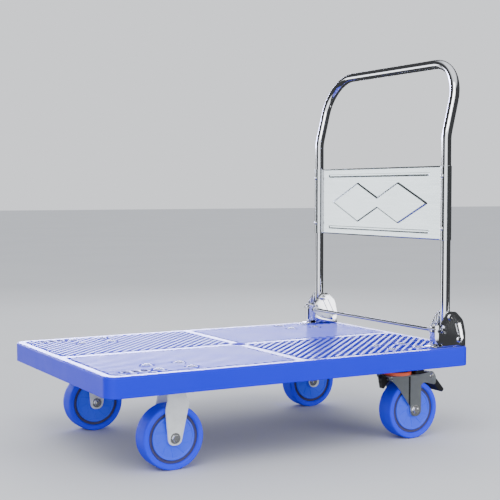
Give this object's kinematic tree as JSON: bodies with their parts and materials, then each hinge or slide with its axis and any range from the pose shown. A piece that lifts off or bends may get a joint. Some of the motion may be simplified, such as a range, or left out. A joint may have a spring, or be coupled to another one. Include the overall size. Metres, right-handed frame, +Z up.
{
  "type": "folding platform cart",
  "caption": "Platform cart with a ribbed plastic deck, fixed and swivel casters, a wheel brake, and a steel push handle that folds flat over the deck.",
  "frame": {"origin": "on the ground, under the middle of the deck", "axes": "+X to the handle end along the deck, +Y to the right of a person pushing towards -X, +Z up"},
  "size_m": [0.9, 0.6, 0.8837],
  "materials": {
    "deck_plastic": "moulded blue polypropylene, satin, ribbed top",
    "tyre_blue": "satin blue elastic rubber",
    "hub_blue": "moulded blue nylon",
    "rim_grey": "dark grey nylon, matt",
    "chrome": "bright chrome plate",
    "zinc": "satin zinc plate",
    "panel_steel": "brushed stainless sheet",
    "black_plastic": "black moulded plastic",
    "orange_plastic": "orange moulded plastic"
  },
  "bodies": {
    "frame": {"bracket_left": "chrome", "bracket_right": "chrome", "deck": "deck_plastic", "front_left_axle_bolt": "zinc", "front_left_axle_bush": "zinc", "front_left_axle_nut": "zinc", "front_left_fork": "zinc", "front_right_axle_bolt": "zinc", "front_right_axle_bush": "zinc", "front_right_axle_nut": "zinc", "front_right_fork": "zinc", "lever_pin_left": "chrome", "lever_pin_right": "chrome", "pivot_bolt_left": "chrome", "pivot_bolt_right": "chrome", "pivot_nut_left": "zinc", "pivot_nut_right": "zinc", "rear_left_ball_ring": "panel_steel", "rear_left_kingpin": "zinc", "rear_left_plate": "zinc", "rear_right_ball_ring": "panel_steel", "rear_right_kingpin": "zinc", "rear_right_plate": "zinc", "release_spring_left": "panel_steel", "release_spring_right": "panel_steel"},
    "release": {"foot_bar": "chrome", "release_lever_left": "zinc", "release_lever_right": "zinc"},
    "front_left_wheel": {"front_left_hub": "hub_blue", "front_left_rim": "rim_grey", "front_left_tyre": "tyre_blue"},
    "front_right_wheel": {"front_right_hub": "hub_blue", "front_right_rim": "rim_grey", "front_right_tyre": "tyre_blue"},
    "handle": {"handle_tube": "chrome", "panel": "panel_steel", "panel_screw_left_lower": "zinc", "panel_screw_left_upper": "zinc", "panel_screw_right_lower": "zinc", "panel_screw_right_upper": "zinc"},
    "rear_left_fork": {"rear_left_axle_bolt": "zinc", "rear_left_axle_bush": "zinc", "rear_left_axle_nut": "zinc", "rear_left_brake_pin": "zinc", "rear_left_dust_ring": "orange_plastic", "rear_left_fork": "zinc"},
    "brake_pedal": {"rear_left_brake_pedal": "black_plastic", "rear_left_brake_shoe": "black_plastic"},
    "rear_left_wheel": {"rear_left_hub": "hub_blue", "rear_left_rim": "rim_grey", "rear_left_tyre": "tyre_blue"},
    "brake_tab": {"rear_left_release_tab": "black_plastic"},
    "rear_right_fork": {"rear_right_axle_bolt": "zinc", "rear_right_axle_bush": "zinc", "rear_right_axle_nut": "zinc", "rear_right_fork": "zinc"},
    "rear_right_wheel": {"rear_right_hub": "hub_blue", "rear_right_rim": "rim_grey", "rear_right_tyre": "tyre_blue"}
  },
  "joints": [
    {"name": "handle_fold", "type": "hinge", "parent": "frame", "child": "handle", "pos_m": [0.3965, 0, 0.283], "axis": [0, -1, 0], "range_deg": [0, 97]},
    {"name": "foot_release", "type": "hinge", "parent": "frame", "child": "release", "pos_m": [0.4235, 0, 0.23], "axis": [0, 1, 0], "range_deg": [0, 10]},
    {"name": "rear_left_swivel", "type": "hinge", "parent": "frame", "child": "rear_left_fork", "pos_m": [0.296, -0.2192, 0.15], "axis": [0, 0, 1], "continuous": true},
    {"name": "rear_right_swivel", "type": "hinge", "parent": "frame", "child": "rear_right_fork", "pos_m": [0.296, 0.2192, 0.15], "axis": [0, 0, 1], "continuous": true},
    {"name": "front_left_roll", "type": "hinge", "parent": "frame", "child": "front_left_wheel", "pos_m": [-0.282, -0.2192, 0.068], "axis": [0, 1, 0], "continuous": true},
    {"name": "front_right_roll", "type": "hinge", "parent": "frame", "child": "front_right_wheel", "pos_m": [-0.282, 0.2192, 0.068], "axis": [0, 1, 0], "continuous": true},
    {"name": "rear_left_roll", "type": "hinge", "parent": "rear_left_fork", "child": "rear_left_wheel", "pos_m": [0.329, -0.2192, 0.068], "axis": [0, 1, 0], "continuous": true},
    {"name": "rear_right_roll", "type": "hinge", "parent": "rear_right_fork", "child": "rear_right_wheel", "pos_m": [0.329, 0.2192, 0.068], "axis": [0, 1, 0], "continuous": true},
    {"name": "brake_press", "type": "hinge", "parent": "rear_left_fork", "child": "brake_pedal", "pos_m": [0.3763, -0.2192, 0.144], "axis": [0, 1, 0], "range_deg": [0, 15]},
    {"name": "brake_tab_swing", "type": "hinge", "parent": "rear_left_fork", "child": "brake_tab", "pos_m": [0.267, -0.2192, 0.1415], "axis": [0, 1, 0], "range_deg": [0, 10]}
  ],
  "couplings": [
    {"joint": "brake_tab_swing", "follows": "brake_press", "ratio": 0.6}
  ]
}
